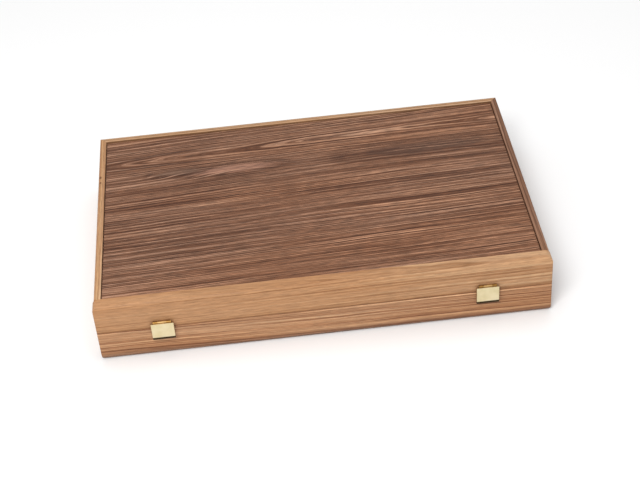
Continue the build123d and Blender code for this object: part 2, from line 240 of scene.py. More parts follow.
def timber(name, palette, cut, turn=(0.0, 0.0, 0.0), streak=0.004, sweep=0.01, run=1.3, lines=0.005,
           fibre=(0.84, 1.12), lenses=(), contrast=(1.0, 1.0)):
    """A finished wood. palette runs from the dark streaks to the light ones. cut is the place in the
    trunk that the case's origin falls on, along the heart and away from it, and turn, in degrees,
    brings the grain onto X. streak, sweep and lines are sizes of the figure, run is how often it
    changes along the grain, fibre is how dark and light the fibres are, and contrast is how strong
    the streaks are at the left and at the right end of the case. A lens, where the cut crosses a
    bulge in the trunk, has a middle, a half length and half width, a lean in degrees, the height of
    the bulge and the tone of the wood inside it."""
    material, tree, shader = new_material(name)
    place = add(tree, "ShaderNodeTexCoord").outputs["Object"]
    mapped = add(tree, "ShaderNodeMapping", {"Vector": place, "Location": cut,
                                             "Rotation": [math.radians(angle) for angle in turn]})
    grain = add(tree, "ShaderNodeGroup", node_tree=growth_group)
    tree.links.new(mapped.outputs[0], grain.inputs["Vector"])
    reaches = [lens_reach(tree, place, lens) for lens in lenses]
    swelling = 0.0
    for reach, lens in zip(reaches, lenses):
        swelling = calc(tree, "ADD", swelling, between(tree, reach, 1.0, 0.0, 0.0, lens["height"]))
    if lenses:
        tree.links.new(swelling, grain.inputs["Swelling"])
    across_case = add(tree, "ShaderNodeSeparateXYZ", {0: place}).outputs["X"]
    strength = between(tree, across_case, cad_low.x, cad_high.x, *contrast)
    tree.links.new(strength, grain.inputs["Contrast"])
    grain.inputs["Streak Width"].default_value = streak
    grain.inputs["Sweep"].default_value = sweep
    grain.inputs["Streak Run"].default_value = run
    grain.inputs["Line Spacing"].default_value = lines
    body = colour_ramp(tree, grain.outputs["Growth"], list(zip(STREAK_STOPS, palette)))
    dark, light = palette[0], palette[-1]
    for reach, lens in zip(reaches, lenses):
        fray = calc(tree, "SUBTRACT", 0.5, grain.outputs["Growth"])
        frayed = calc(tree, "MULTIPLY_ADD", fray, LENS_FRAY, reach)
        inside = between(tree, frayed, *LENS_EDGE, 0.0, LENS_STRENGTH)
        body = mix_colours(tree, "MIX", inside, body, lens["tone"])
        rim = calc(tree, "ABSOLUTE", calc(tree, "SUBTRACT", frayed, LENS_RIM))
        body = mix_colours(tree, "MIX", between(tree, rim, *RIM_EDGE, 0.0, RIM_STRENGTH), body, dark)
    for label, line_colour in (("Dark Lines", dark), ("Light Lines", light)):
        amount = calc(tree, "MULTIPLY", grain.outputs[label], LINE_STRENGTH)
        body = mix_colours(tree, "MIX", amount, body, line_colour)
    drift = between(tree, grain.outputs["Drift"], *NOISE_RANGE)
    body = mix_colours(tree, "MULTIPLY", 1.0, body, mix_colours(tree, "MIX", drift, WARM_TINT, COOL_TINT))
    shade = between(tree, grain.outputs["Fibre"], *NOISE_RANGE, *fibre)
    drift_shade = between(tree, grain.outputs["Drift"], *NOISE_RANGE, *DRIFT_SHADE)
    shade = calc(tree, "MULTIPLY", shade, drift_shade)
    pore_shade = calc(tree, "MULTIPLY_ADD", grain.outputs["Pores"], PORE_SHADE, 1.0)
    shade = calc(tree, "MULTIPLY", shade, pore_shade)
    body = add(tree, "ShaderNodeVectorMath", {0: body, 3: shade}, operation="SCALE").outputs[0]
    tree.links.new(body, shader.inputs["Base Color"])
    roughness = between(tree, grain.outputs["Fibre"], *NOISE_RANGE, *WOOD_ROUGHNESS)
    tree.links.new(roughness, shader.inputs["Roughness"])
    bump = add(tree, "ShaderNodeBump", {"Height": grain.outputs["Relief"], "Distance": WOOD_RELIEF,
                                        "Strength": WOOD_BUMP})
    tree.links.new(bump.outputs[0], shader.inputs["Normal"])
    shader.inputs["Specular IOR Level"].default_value = WOOD_SHINE
    return material


def finish_node(node, material):
    """Gives a piece of the frame its finish."""
    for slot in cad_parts[node].material_slots:
        slot.material = material


panel_walnut = (colour(62, 31, 16), colour(99, 61, 39), colour(130, 89, 65), colour(187, 143, 115))
panel_figure = {"streak": 0.0015, "sweep": 0.022, "run": 3.0, "lines": 0.0026, "fibre": (0.67, 1.27),
                "contrast": (1.25, 1.15)}
lid_lenses = [{"middle": (-0.083, 0.068), "long": 0.095, "wide": 0.016, "lean": 1.5, "height": 0.0080,
               "tone": colour(160, 115, 93)},
              {"middle": (-0.146, 0.072), "long": 0.055, "wide": 0.011, "lean": 1.5, "height": 0.0040,
               "tone": colour(110, 80, 62)},
              {"middle": (0.138, 0.071), "long": 0.155, "wide": 0.022, "lean": 1.0, "height": 0.0045,
               "tone": colour(82, 55, 42)}]
base_lenses = [{"middle": (0.07, -0.03), "long": 0.09, "wide": 0.012, "lean": -1.0, "height": 0.0045,
                "tone": colour(146, 106, 84)}]
finish_node("lid_panel", timber("lid_panel_walnut", panel_walnut, (23.37, -0.108, -0.060),
                                turn=(0.0, 1.2, -2.6), lenses=lid_lenses, **panel_figure))
finish_node("base_panel", timber("base_panel_walnut", panel_walnut, (0.3, 0.05, -0.03),
                                 turn=(0.0, -1.1, 1.8), lenses=base_lenses, **panel_figure))

# Rails
# The rims of both trays, in lighter walnut: a thick front rail with rounded edges, and thin side
# and back rails, mitred at the back, with a scratched line that sets off a paler inner strip. Shade
# is painted along the joint between the trays, on the inner walls by the panels and along the front's
# foot, and highlights are painted on the rounded edges, along the front's top and under the joint.

lid_front_walnut = (colour(140, 94, 57), colour(175, 129, 90), colour(183, 137, 98), colour(202, 160, 119))
base_front_walnut = (colour(118, 73, 47), colour(158, 112, 78), colour(177, 131, 95), colour(202, 159, 121))
left_walnut = (colour(150, 107, 70), colour(174, 131, 93), colour(186, 145, 106), colour(204, 167, 129))
back_walnut = (colour(142, 101, 69), colour(171, 134, 100), colour(185, 149, 117), colour(206, 174, 144))
right_walnut = (colour(88, 54, 34), colour(112, 74, 51), colour(130, 92, 69), colour(156, 118, 94))
ALONG_Y = (0.0, 0.0, -90.0)
STRIP_WIDTH = 0.0028
ARRIS_WIDTH = 0.0016
REVEAL_WIDTH = 0.0011
PAINTED_REVEAL_SHADE = (0.60, 0.52, 0.46)
JOINT_WIDTH = 0.0009
PAINTED_JOINT_SHADE = (0.58, 0.50, 0.42)
FOOT_WIDTH = 0.0070
PAINTED_FOOT_SHADE = (0.62, 0.62, 0.70)
LIP = 0.0012
LIP_FADE = 0.0004


def tint_band(material, axis, middle, reach, tint, soft=0.0002, skin=None, grows=None):
    """Tints a band of a wood, as far as its reach on both sides of a place along an axis. skin, an
    axis and a face's place, keeps the tint within a lip of that face. grows, two places along X,
    lets the tint grow from nothing to its full strength between them."""
    tree = material.node_tree
    shader = tree.nodes["Principled BSDF"]
    body = shader.inputs["Base Color"].links[0].from_socket
    place = add(tree, "ShaderNodeSeparateXYZ", {0: add(tree, "ShaderNodeTexCoord").outputs["Object"]})
    away = calc(tree, "ABSOLUTE", calc(tree, "SUBTRACT", place.outputs[axis], middle))
    inside = between(tree, away, reach + soft, reach - soft)
    if skin:
        depth = calc(tree, "ABSOLUTE", calc(tree, "SUBTRACT", place.outputs[skin[0]], skin[1]))
        inside = calc(tree, "MULTIPLY", inside, between(tree, depth, LIP + LIP_FADE, LIP))
    if grows:
        inside = calc(tree, "MULTIPLY", inside, between(tree, place.outputs["X"], *grows))
    tree.links.new(mix_colours(tree, "MULTIPLY", inside, body, (*tint, 1.0)), shader.inputs["Base Color"])


rails = {
    "lid_front": timber("lid_front_walnut", lid_front_walnut, (7.04, 0.16, -0.20), turn=(0.0, 0.5, 0.4),
                        streak=0.0026, sweep=0.010, run=1.6, lines=0.0046, contrast=(0.4, 1.35)),
    "base_front": timber("base_front_walnut", base_front_walnut, (16.64, 0.13, 0.06),
                         turn=(0.0, -0.6, -0.3), streak=0.0026, sweep=0.012, run=1.6, lines=0.0040,
                         contrast=(1.3, 1.5))}
front_low, front_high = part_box("lid_front_rail")
seam = front_low.z
for tray, above_heart in (("lid", -0.16), ("base", 0.12)):
    rails[f"{tray}_back"] = timber(f"{tray}_back_walnut", back_walnut, (2.3, -0.08, above_heart),
                                   streak=0.003, sweep=0.008)
    rails[f"{tray}_left"] = timber(f"{tray}_left_walnut", left_walnut, (3.1, -0.17, above_heart),
                                   turn=ALONG_Y, streak=0.003, sweep=0.008)
    rails[f"{tray}_right"] = timber(f"{tray}_right_walnut", right_walnut, (4.2, 0.31, above_heart),
                                    turn=ALONG_Y, streak=0.003, sweep=0.008)
    panel_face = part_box("lid_panel")[1].z if tray == "lid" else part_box("base_panel")[0].z
    # The arris tints paint light on the rounded outer edges: painted shade at the back, painted highlights
    # at the sides
    for side, axis, strip_tint, painted_arris_shading in (("back", "Y", (1.24, 1.27, 1.32), (0.95, 0.97, 1.03)),
                                               ("left", "X", (1.07, 1.12, 1.24), (1.0, 1.02, 1.12)),
                                               ("right", "X", (1.15, 1.16, 1.17), (1.20, 1.28, 1.36))):
        low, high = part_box(f"{tray}_{side}_rail")
        inner, outer = {"back": (low.y, high.y), "left": (high.x, low.x), "right": (low.x, high.x)}[side]
        material = rails[f"{tray}_{side}"]
        tint_band(material, axis, inner, STRIP_WIDTH, strip_tint)
        tint_band(material, axis, outer, ARRIS_WIDTH, painted_arris_shading)
        # Painted shade on each rail's inner wall beside the panel, where the reveal is
        tint_band(material, "Z", panel_face, REVEAL_WIDTH, PAINTED_REVEAL_SHADE, skin=(axis, inner))
        # Painted shade along the joint between the trays, on the rail's outer face
        tint_band(material, "Z", seam, JOINT_WIDTH, PAINTED_JOINT_SHADE, soft=0.0005, skin=(axis, outer))
for name, material in rails.items():
    finish_node(f"{name}_rail", material)
lid_front, base_front = rails["lid_front"], rails["base_front"]
front_skin = ("Y", front_low.y)
right_stretch = (0.0, 0.20)
# A painted highlight along the top, then painted shade and painted highlights at the edges of the
# joint, the highlights growing towards the right, and painted shade along the foot
tint_band(lid_front, "Y", front_high.y - 0.0065, 0.0020, (1.05, 1.08, 1.12), soft=0.0016)
tint_band(lid_front, "Z", seam + 0.0013, 0.0010, (0.60, 0.53, 0.46), soft=0.0006, skin=front_skin)
tint_band(base_front, "Z", seam - 0.0004, 0.0008, (1.20, 1.20, 1.22), soft=0.0004)
tint_band(base_front, "Z", seam - 0.0026, 0.0010, (0.90, 0.88, 0.86), soft=0.0006)
tint_band(lid_front, "Z", seam + 0.0011, 0.0012, (1.42, 1.48, 1.55), soft=0.0006, grows=right_stretch)
tint_band(base_front, "Z", seam - 0.0002, 0.0008, (1.16, 1.18, 1.20), soft=0.0004, grows=right_stretch)
tint_band(base_front, "Z", 0.0, FOOT_WIDTH, PAINTED_FOOT_SHADE, soft=FOOT_WIDTH / 2)


def add_knot(material, middle, size):
    """A small brown pin knot at a place on a level face, longer along Y."""
    knot_brown = colour(92, 56, 28)
    squash, roughening, edge, strength = 0.6, 0.8, (1.5, 0.9), 0.8
    tree = material.node_tree
    shader = tree.nodes["Principled BSDF"]
    body = shader.inputs["Base Color"].links[0].from_socket
    place = add(tree, "ShaderNodeTexCoord").outputs["Object"]
    place = calc_vector(tree, "SUBTRACT", place, (*middle, 0.0))
    place = calc_vector(tree, "MULTIPLY", place, (1 / size, squash / size, 0.0))
    reach = add(tree, "ShaderNodeVectorMath", {0: place}, operation="LENGTH").outputs["Value"]
    rough = waves(tree, place, (1.5, 1.5, 1.5))
    reach = calc(tree, "MULTIPLY_ADD", rough, roughening, reach)
    spot = calc(tree, "MULTIPLY", between(tree, reach, *edge), strength)
    tree.links.new(mix_colours(tree, "MIX", spot, body, knot_brown), shader.inputs["Base Color"])


add_knot(rails["lid_left"], (-0.2361, 0.0762), 0.0018)
add_knot(rails["lid_left"], (-0.2359, 0.0660), 0.0013)

# Playing surfaces
# Thin veneer laid on the inside of each panel: a mid-brown ground with pointed inlays of maple
# and dark smoked wood let in flush, their grain running towards their tips.

field_walnut = (colour(112, 76, 52), colour(142, 102, 72), colour(160, 118, 86), colour(184, 144, 110))
maple = (colour(186, 146, 98), colour(214, 178, 130), colour(226, 192, 146), colour(238, 210, 168))
smoked = (colour(38, 24, 18), colour(54, 35, 26), colour(68, 45, 33), colour(92, 64, 47))
for tray, above_heart in (("lid", -0.20), ("base", 0.14)):
    finish_node(f"{tray}_playing_field",
                timber(f"{tray}_field_veneer", field_walnut, (5.1, -0.19, above_heart), turn=ALONG_Y,
                       streak=0.0034, sweep=0.02))
    finish_node(f"{tray}_light_points", timber(f"{tray}_maple_inlay", maple, (6.3, 0.21, above_heart),
                                               streak=0.005, sweep=0.01))
    finish_node(f"{tray}_dark_points", timber(f"{tray}_smoked_inlay", smoked, (7.7, 0.21, above_heart),
                                              streak=0.005, sweep=0.01))

# Rack strips
# A divider between the playing surface and the checker rack in each tray, and two low walls
# that close off the dice well. Planed walnut with eased top edges, glued in.

rack_walnut = (colour(122, 84, 58), colour(154, 112, 80), colour(172, 128, 94), colour(196, 154, 118))
divider_material = timber("divider_walnut", rack_walnut, (8.2, 0.02, -0.10), streak=0.003, sweep=0.006)
for node in ("lid_rack_divider", "base_rack_divider"):
    finish_node(node, divider_material)
partition_material = timber("partition_walnut", rack_walnut, (9.4, 0.03, -0.09), turn=ALONG_Y,
                            streak=0.003, sweep=0.006)
for node in ("left_rack_partition", "right_rack_partition"):
    finish_node(node, partition_material)

# Hinges
# Two brass butt hinges let into the rims of the back rails, each with two leaves, five knuckles
# and a pin. Satin brass, faintly clouded, with fine drawn lines along the hinge.


def metal_haze():
    """Faint clouding and fine drawn lines along X on pressed or drawn metal."""
    group, given, result = new_group(
        "metal_haze",
        [("Vector", "NodeSocketVector", None), ("Line Pitch", "NodeSocketFloat", 0.0003)],
        ["Cloud", "Lines"])
    vector = given.outputs["Vector"]
    cloud = waves(group, vector, (90.0, 90.0, 90.0))
    across = calc(group, "DIVIDE", 1.0, given.outputs["Line Pitch"])
    per_metre = add(group, "ShaderNodeCombineXYZ", {"X": 60.0, "Y": across, "Z": across}).outputs[0]
    lines = waves(group, vector, per_metre)
    group.links.new(cloud, result.inputs["Cloud"])
    group.links.new(lines, result.inputs["Lines"])
    return group


haze_group = metal_haze()
BRASS_CLOUD = (0.3, 0.8)
BRASS_RELIEF = 0.00001
BRASS_BUMP = 0.3


def brass(name, bright, dull, gloss):
    """Brass with clouding between two tones and a roughness range."""
    material, tree, shader = new_material(name)
    haze = add(tree, "ShaderNodeGroup", node_tree=haze_group)
    tree.links.new(add(tree, "ShaderNodeTexCoord").outputs["Object"], haze.inputs["Vector"])
    tone = mix_colours(tree, "MIX", between(tree, haze.outputs["Cloud"], *BRASS_CLOUD), bright, dull)
    tree.links.new(tone, shader.inputs["Base Color"])
    roughness = between(tree, haze.outputs["Lines"], *NOISE_RANGE, *gloss)
    tree.links.new(roughness, shader.inputs["Roughness"])
    bump = add(tree, "ShaderNodeBump", {"Height": haze.outputs["Lines"], "Distance": BRASS_RELIEF,
                                        "Strength": BRASS_BUMP})
    tree.links.new(bump.outputs[0], shader.inputs["Normal"])
    shader.inputs["Metallic"].default_value = 1.0
    return material


hinge_brass = brass("hinge_brass", colour(222, 192, 128), colour(190, 156, 96), (0.26, 0.38))
for side in ("left", "right"):
    for piece in ("hinge_base_leaf", "hinge_lid_leaf", "hinge_pin"):
        finish_node(f"{side}_{piece}", hinge_brass)

# Hinge screws
# Small countersunk wood screws with a straight slot, turned from bright brass. Three hold each
# leaf to the rail that it is let into, their heads flush with the leaf.

SCREWS_PER_LEAF = 3
SCREW_SPACING = 0.018
SCREW_SIDES = 32
MERGE_DISTANCE = 1e-7
LEVEL_WITHIN = 1e-6


def solid_from(build, name, material):
    """A mesh object made by a function that fills a bmesh."""
    shape = bmesh.new()
    build(shape)
    bmesh.ops.remove_doubles(shape, verts=shape.verts, dist=MERGE_DISTANCE)
    bmesh.ops.recalc_face_normals(shape, faces=shape.faces)
    mesh = bpy.data.meshes.new(name)
    shape.to_mesh(mesh)
    shape.free()
    mesh.materials.append(material)
    piece = bpy.data.objects.new(name, mesh)
    bpy.context.scene.collection.objects.link(piece)
    return piece


def soften(mesh, degrees):
    """Smooth shading, broken at edges sharper than the angle."""
    mesh.polygons.foreach_set("use_smooth", [True] * len(mesh.polygons))
    mesh.set_sharp_from_angle(angle=math.radians(degrees))


def turned(shape, outline, sides):
    """A turned solid about Z from an outline of radius and height that starts and ends on the axis."""
    rings = []
    for radius, height in outline:
        if radius == 0:
            rings.append([shape.verts.new((0, 0, height))])
        else:
            rings.append([
                shape.verts.new((radius * math.cos(turn), radius * math.sin(turn), height))
                for turn in (math.tau * step / sides for step in range(sides))])
    for low, high in zip(rings, rings[1:]):
        for step in range(sides):
            corners = [low[step % len(low)], low[(step + 1) % len(low)],
                       high[(step + 1) % len(high)], high[step % len(high)]]
            shape.faces.new(list(dict.fromkeys(corners)))


def top_faces(shape):
    """The faces of a shape that lie at Z 0."""
    return [face for face in shape.faces if min(vert.co.z for vert in face.verts) > -LEVEL_WITHIN]


def screw_shape(shape):
    """Countersunk screw with its head's face at Z 0, standing down into the wood."""
    head, shank, depth, length = 0.0018, 0.00095, 0.0012, 0.010
    tip, tip_length, head_edge, head_face = shank * 0.3, 0.002, 0.0001, head * 0.94
    slot_half, slot_depth = 0.00022, 0.0005
    turned(shape, [(0, -length), (tip, -length), (shank, -length + tip_length), (shank, -depth),
                   (head, -head_edge), (head_face, 0), (0, 0)], SCREW_SIDES)
    bmesh.ops.dissolve_faces(shape, faces=top_faces(shape))
    for offset in (-slot_half, slot_half):
        top = top_faces(shape)
        geometry = top + list({edge for face in top for edge in face.edges})
        geometry += list({vert for face in top for vert in face.verts})
        bmesh.ops.bisect_plane(shape, geom=geometry, plane_co=(0, offset, 0), plane_no=(0, 1, 0))
    slot = [face for face in top_faces(shape) if abs(face.calc_center_median().y) < slot_half]
    sunk = bmesh.ops.extrude_face_region(shape, geom=slot)["geom"]
    bmesh.ops.delete(shape, geom=slot, context="FACES_ONLY")
    floor_verts = [part for part in sunk if isinstance(part, bmesh.types.BMVert)]
    bmesh.ops.translate(shape, vec=(0, 0, -slot_depth), verts=floor_verts)


def rows_tree():
    """Geometry tree: the piece repeated along rows in X, each turned by chance about its own axis."""
    tree = bpy.data.node_groups.new("repeated_rows", "GeometryNodeTree")
    sockets = tree.interface
    sockets.new_socket("Geometry", in_out="INPUT", socket_type="NodeSocketGeometry")
    for label, kind in (("Rows", "NodeSocketInt"), ("Row Spacing", "NodeSocketFloat"),
                        ("Count", "NodeSocketInt"), ("Spacing", "NodeSocketFloat"),
                        ("First", "NodeSocketVector"), ("Turn", "NodeSocketVector"),
                        ("Tilt", "NodeSocketVector"), ("Seed", "NodeSocketInt"),
                        ("Material", "NodeSocketMaterial")):
        sockets.new_socket(label, in_out="INPUT", socket_type=kind)
    sockets.new_socket("Geometry", in_out="OUTPUT", socket_type="NodeSocketGeometry")
    given = tree.nodes.new("NodeGroupInput").outputs
    step = add(tree, "ShaderNodeCombineXYZ", {"X": given["Spacing"]}).outputs[0]
    stride = add(tree, "ShaderNodeCombineXYZ", {"X": given["Row Spacing"]}).outputs[0]
    line = add(tree, "GeometryNodeMeshLine", {"Count": given["Count"], "Offset": step})
    starts = add(tree, "GeometryNodeMeshLine", {"Count": given["Rows"], "Start Location": given["First"],
                                                "Offset": stride})
    rows = add(tree, "GeometryNodeInstanceOnPoints", {"Points": starts.outputs[0],
                                                      "Instance": line.outputs[0]})
    points = add(tree, "GeometryNodeRealizeInstances", {0: rows.outputs[0]})
    chance = add(tree, "FunctionNodeRandomValue", {"Max": given["Turn"], "Seed": given["Seed"]},
                 data_type="FLOAT_VECTOR")
    spin = add(tree, "FunctionNodeEulerToRotation", {0: chance.outputs[0]}).outputs[0]
    lean = add(tree, "FunctionNodeEulerToRotation", {0: given["Tilt"]}).outputs[0]
    facing = add(tree, "FunctionNodeRotateRotation", {0: spin, 1: lean}).outputs[0]
    pieces = add(tree, "GeometryNodeInstanceOnPoints", {"Points": points.outputs[0],
                                                        "Instance": given["Geometry"],
                                                        "Rotation": facing})
    tone = add(tree, "FunctionNodeRandomValue", {"Seed": given["Seed"]}, data_type="FLOAT")
    toned = add(tree, "GeometryNodeStoreNamedAttribute",
                {"Geometry": pieces.outputs[0], "Name": "tone", "Value": tone.outputs[1]},
                data_type="FLOAT", domain="INSTANCE")
    real = add(tree, "GeometryNodeRealizeInstances", {0: toned.outputs[0]})
    done = add(tree, "GeometryNodeSetMaterial", {"Geometry": real.outputs[0],
                                                 "Material": given["Material"]})
    result = tree.nodes.new("NodeGroupOutput")
    tree.links.new(done.outputs[0], result.inputs[0])
    return tree


repeated_rows = rows_tree()


def apply_tree(piece, tree, values):
    """Runs a geometry tree on a piece with the given inputs and keeps the mesh that it makes."""
    modifier = piece.modifiers.new(tree.name, "NODES")
    modifier.node_group = tree
    for item in tree.interface.items_tree:
        if item.in_out == "INPUT" and item.name in values:
            modifier[item.identifier] = values[item.name]
    graph = bpy.context.evaluated_depsgraph_get()
    mesh = bpy.data.meshes.new_from_object(piece.evaluated_get(graph))
    piece.modifiers.clear()
    piece.data = mesh


screw_brass = brass("screw_brass", colour(226, 198, 134), colour(198, 164, 104), (0.2, 0.32))
for tray, body, tilt in (("base", "case_base", 0.0), ("lid", "lid", math.pi)):
    low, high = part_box(f"{tray}_hinge_screws")
    left_low, left_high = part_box(f"left_hinge_{tray}_leaf")
    right_low, right_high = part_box(f"right_hinge_{tray}_leaf")
    left_middle = (left_low.x + left_high.x) / 2
    first_x = left_middle - SCREW_SPACING * (SCREWS_PER_LEAF - 1) / 2
    screws = solid_from(screw_shape, f"{tray}_slotted_screws", screw_brass)
    soften(screws.data, degrees=30)
    apply_tree(screws, repeated_rows, {
        "Rows": 2, "Row Spacing": (right_low.x + right_high.x) / 2 - left_middle,
        "Count": SCREWS_PER_LEAF, "Spacing": SCREW_SPACING,
        "First": (first_x, (low.y + high.y) / 2, high.z if tray == "base" else low.z),
        "Turn": (0.0, 0.0, math.pi), "Tilt": (tilt, 0.0, 0.0), "Seed": 4, "Material": screw_brass})
    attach(screws, body)
    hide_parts(f"{tray}_hinge_screws")

# Clasps
# Two snap clasps on the front: a nailed plate and a pin on the lid, a pressed flap that hangs
# over the seam, and a nailed keeper under it on the base. The flap's face is bright pale brass; its
# back and sides carry tarnish and painted dark reflection, its foot painted shade, and the other
# pieces are a darker brass, partly painted dark reflection on the knuckle.

# A darker brass than the flap's, partly tarnish and partly painted dark reflection on the knuckle
clasp_brass = brass("clasp_brass", colour(196, 160, 106), colour(166, 130, 80), (0.42, 0.54))
flap_brass = brass("flap_brass", colour(228, 215, 178), colour(214, 200, 157), (0.36, 0.46))
POLISHED_DEPTH = 0.0003
DARKENED_DEPTH = 0.0010
FOOT_HEIGHT = 0.0038
FOOT_FADE = 0.0002
FOOT_STRENGTH = 0.97


def tarnish_and_painted_shade(material, node):
    """Darkens a flap behind its polished face with tarnish and painted reflection, and its rolled foot with
    painted shade.
    """
    low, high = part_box(node)
    tree = material.node_tree
    shader = tree.nodes["Principled BSDF"]
    tone = shader.inputs["Base Color"].links[0].from_socket
    place = add(tree, "ShaderNodeSeparateXYZ", {0: add(tree, "ShaderNodeTexCoord").outputs["Object"]})
    # Painted dark reflection, with some tarnish, behind the polished face
    behind = between(tree, place.outputs["Y"], low.y + POLISHED_DEPTH, low.y + DARKENED_DEPTH)
    tone = mix_colours(tree, "MIX", behind, tone, colour(158, 120, 66))
    # Painted near-black shade and dark reflection round the rolled foot
    foot_top = low.z + FOOT_HEIGHT
    foot = between(tree, place.outputs["Z"], foot_top + FOOT_FADE, foot_top - FOOT_FADE)
    foot = calc(tree, "MULTIPLY", foot, FOOT_STRENGTH)
    tone = mix_colours(tree, "MIX", foot, tone, colour(50, 33, 16))
    tree.links.new(tone, shader.inputs["Base Color"])


tarnish_and_painted_shade(flap_brass, "left_clasp_flap")
for side in ("left", "right"):
    for piece in ("clasp_plate", "clasp_pin", "clasp_keeper"):
        finish_node(f"{side}_{piece}", clasp_brass)
    finish_node(f"{side}_clasp_flap", flap_brass)

# Clasp nails
# Small round-headed brass nails, two through each plate and two through each keeper. They are
# driven into the front rails and hold the clasps to the case.

NAIL_HEAD = 0.0011
NAIL_CROWN = 0.0004
NAIL_SIDES = 24


def nail_shape(shape):
    """Round-headed nail along Z, the underside of its head at Z 0 and its point below."""
    shank, length, point, dome_steps = 0.0006, 0.007, 0.0012, 6
    dome = [(NAIL_HEAD * math.cos(turn), NAIL_CROWN * math.sin(turn))
            for turn in (math.pi / 2 * step / dome_steps for step in range(dome_steps))]
    turned(shape, [(0, -length), (shank, -length + point), (shank, 0), *dome, (0, NAIL_CROWN)], NAIL_SIDES)


nail_brass = brass("nail_brass", colour(232, 206, 144), colour(204, 172, 112), (0.18, 0.3))
for tray, body in (("base", "case_base"), ("lid", "lid")):
    low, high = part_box(f"{tray}_clasp_nails")
    plate = "clasp_keeper" if tray == "base" else "clasp_plate"
    left_low, left_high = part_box(f"left_{plate}")
    middle = (left_low.x + left_high.x) / 2
    first_x = low.x + NAIL_HEAD
    nails = solid_from(nail_shape, f"{tray}_round_nails", nail_brass)
    soften(nails.data, degrees=40)
    apply_tree(nails, repeated_rows, {
        "Rows": 2, "Row Spacing": -2 * middle, "Count": 2, "Spacing": 2 * (middle - first_x),
        "First": (first_x, low.y + NAIL_CROWN, (low.z + high.z) / 2),
        "Turn": (0.0, 0.0, math.pi), "Tilt": (math.pi / 2, 0.0, 0.0), "Seed": 9, "Material": nail_brass})
    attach(nails, body)
    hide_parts(f"{tray}_clasp_nails")

# Checkers
# Fifteen maple and fifteen smoked checkers, turned with a dished face, a bead ring and eased
# edges, standing on edge in the rack. Each has its own figure and tone.

CHECKER_COUNT = 15
CHECKER_RADIUS = 0.019
CHECKER_THICKNESS = 0.009
CHECKER_EDGE = 0.0012
CHECKER_DISH = 0.0006
CHECKER_SIDES = 72


def checker_shape(shape):
    """A turned checker about Z, dished and ringed on both faces."""
    half = CHECKER_THICKNESS / 2
    edge_radius, edge_height = CHECKER_RADIUS - CHECKER_EDGE, half - CHECKER_EDGE
    edge_steps = 5
    edge = [(edge_radius + CHECKER_EDGE * math.cos(turn), edge_height + CHECKER_EDGE * math.sin(turn))
            for turn in (math.pi / 2 * step / edge_steps for step in range(edge_steps + 1))]
    ring = [(0.0150, half), (0.0146, half - 0.0004), (0.0140, half - 0.0005), (0.0134, half - 0.0001),
            (0.0126, half), (0.0119, half - CHECKER_DISH / 2)]
    dish = [(0.0110, half - CHECKER_DISH), (0.0, half - CHECKER_DISH)]
    upper = edge + ring + dish
    lower = [(distance, -height) for distance, height in reversed(upper)]
    turned(shape, lower + upper, CHECKER_SIDES)


def own_tone(material):
    """Cuts each checker from its own part of the trunk, and makes it a little lighter or darker."""
    darkest, lightest, across_trunk, along_trunk = 0.84, 1.14, 0.06, 0.9
    tree = material.node_tree
    shader = tree.nodes["Principled BSDF"]
    body = shader.inputs["Base Color"].links[0].from_socket
    tone = add(tree, "ShaderNodeAttribute", attribute_name="tone").outputs["Fac"]
    shade = between(tree, tone, 0.0, 1.0, darkest, lightest)
    body = add(tree, "ShaderNodeVectorMath", {0: body, 3: shade}, operation="SCALE").outputs[0]
    tree.links.new(body, shader.inputs["Base Color"])
    mapping = next(node for node in tree.nodes if node.type == "MAPPING")
    place = mapping.inputs["Vector"].links[0].from_socket
    shift = add(tree, "ShaderNodeCombineXYZ", {"Y": calc(tree, "MULTIPLY", tone, across_trunk),
                                               "Z": calc(tree, "MULTIPLY", tone, along_trunk)}).outputs[0]
    tree.links.new(calc_vector(tree, "ADD", place, shift), mapping.inputs["Vector"])


for side, tone_name, palette in ((-1, "light", maple), (1, "dark", smoked)):
    low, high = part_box(f"{tone_name}_checkers")
    material = timber(f"{tone_name}_checker_wood", palette, (10.0, 0.035, 0.02), turn=(0.0, 90.0, 0.0),
                      streak=0.0016, sweep=0.003, run=8.0)
    own_tone(material)
    row = solid_from(checker_shape, f"{tone_name}_turned_checkers", material)
    soften(row.data, degrees=35)
    pitch = (high.x - low.x - CHECKER_THICKNESS) / (CHECKER_COUNT - 1)
    apply_tree(row, repeated_rows, {
        "Rows": 1, "Row Spacing": 0.0, "Count": CHECKER_COUNT, "Spacing": pitch,
        "First": (low.x + CHECKER_THICKNESS / 2, (low.y + high.y) / 2, (low.z + high.z) / 2),
        "Turn": (0.0, 0.0, math.tau), "Tilt": (0.0, math.pi / 2, 0.0), "Seed": 20 + side,
        "Material": material})
    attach(row, f"{tone_name}_row")
    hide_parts(f"{tone_name}_checkers")

# Dice and doubling cube
# Two ivory and two brown dice and an ivory doubling cube in the well: polished resin with
# rounded corners, drilled and filled pips, and filled numerals.

EDGE_RADIUS = 0.0019
PIP_SPACING = 0.24
PIP_SIDES = 20
NUMERAL_HEIGHT = 0.0105
NUMERAL_THICKNESS = 0.00015
NUMERAL_SINK = 0.0001
RESIN_CLOUD = (0.35, 0.7)
RESIN_ROUGHNESS = (0.12, 0.22)
RESIN_COAT = 0.4
# Where the pips of each number lie, in steps from the middle of the face
PIP_GRIDS = {1: [(0, 0)], 2: [(-1, -1), (1, 1)], 3: [(-1, -1), (0, 0), (1, 1)],
             4: [(-1, -1), (-1, 1), (1, -1), (1, 1)], 5: [(-1, -1), (-1, 1), (0, 0), (1, -1), (1, 1)],
             6: [(-1, -1), (-1, 0), (-1, 1), (1, -1), (1, 0), (1, 1)]}
